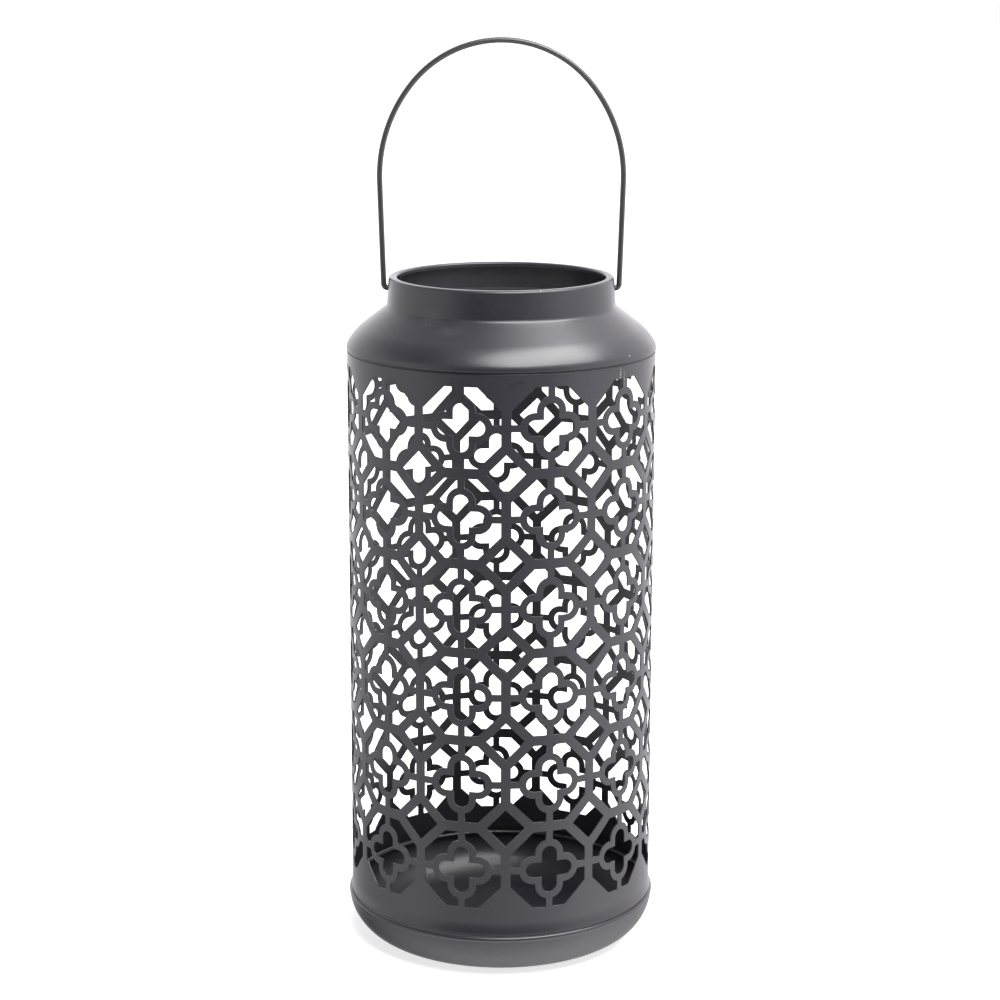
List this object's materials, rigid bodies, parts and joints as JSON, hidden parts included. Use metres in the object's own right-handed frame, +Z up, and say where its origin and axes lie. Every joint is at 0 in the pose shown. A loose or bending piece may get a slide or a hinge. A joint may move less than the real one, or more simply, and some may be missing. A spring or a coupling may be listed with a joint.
{
  "type": "punched tin lantern",
  "caption": "Cylindrical sheet-metal candle lantern with a pierced lattice sleeve, rounded base pan, sloping shoulder, open neck and a swinging wire bail.",
  "frame": {"origin": "centre of the base's underside, on the surface that the lantern stands on", "axes": "+Z up along the lantern's axis, -Y towards the viewer of the front, +X to the viewer's right and along the bail's hinge line"},
  "size_m": [0.1636, 0.1636, 0.4758],
  "materials": {
    "coated_sheet": "satin charcoal powder coat on steel sheet",
    "coated_wire": "satin charcoal powder coat on steel wire"
  },
  "bodies": {
    "lantern": {"base_pan": "coated_sheet", "perforated_sleeve": "coated_sheet", "shoulder_cap": "coated_sheet"},
    "bail": {"bail_handle": "coated_wire"}
  },
  "joints": [
    {"name": "bail_swing", "type": "hinge", "parent": "lantern", "child": "bail", "pos_m": [0, 0, 0.34824], "axis": [1, 0, 0], "range_deg": [-113, 113]}
  ]
}
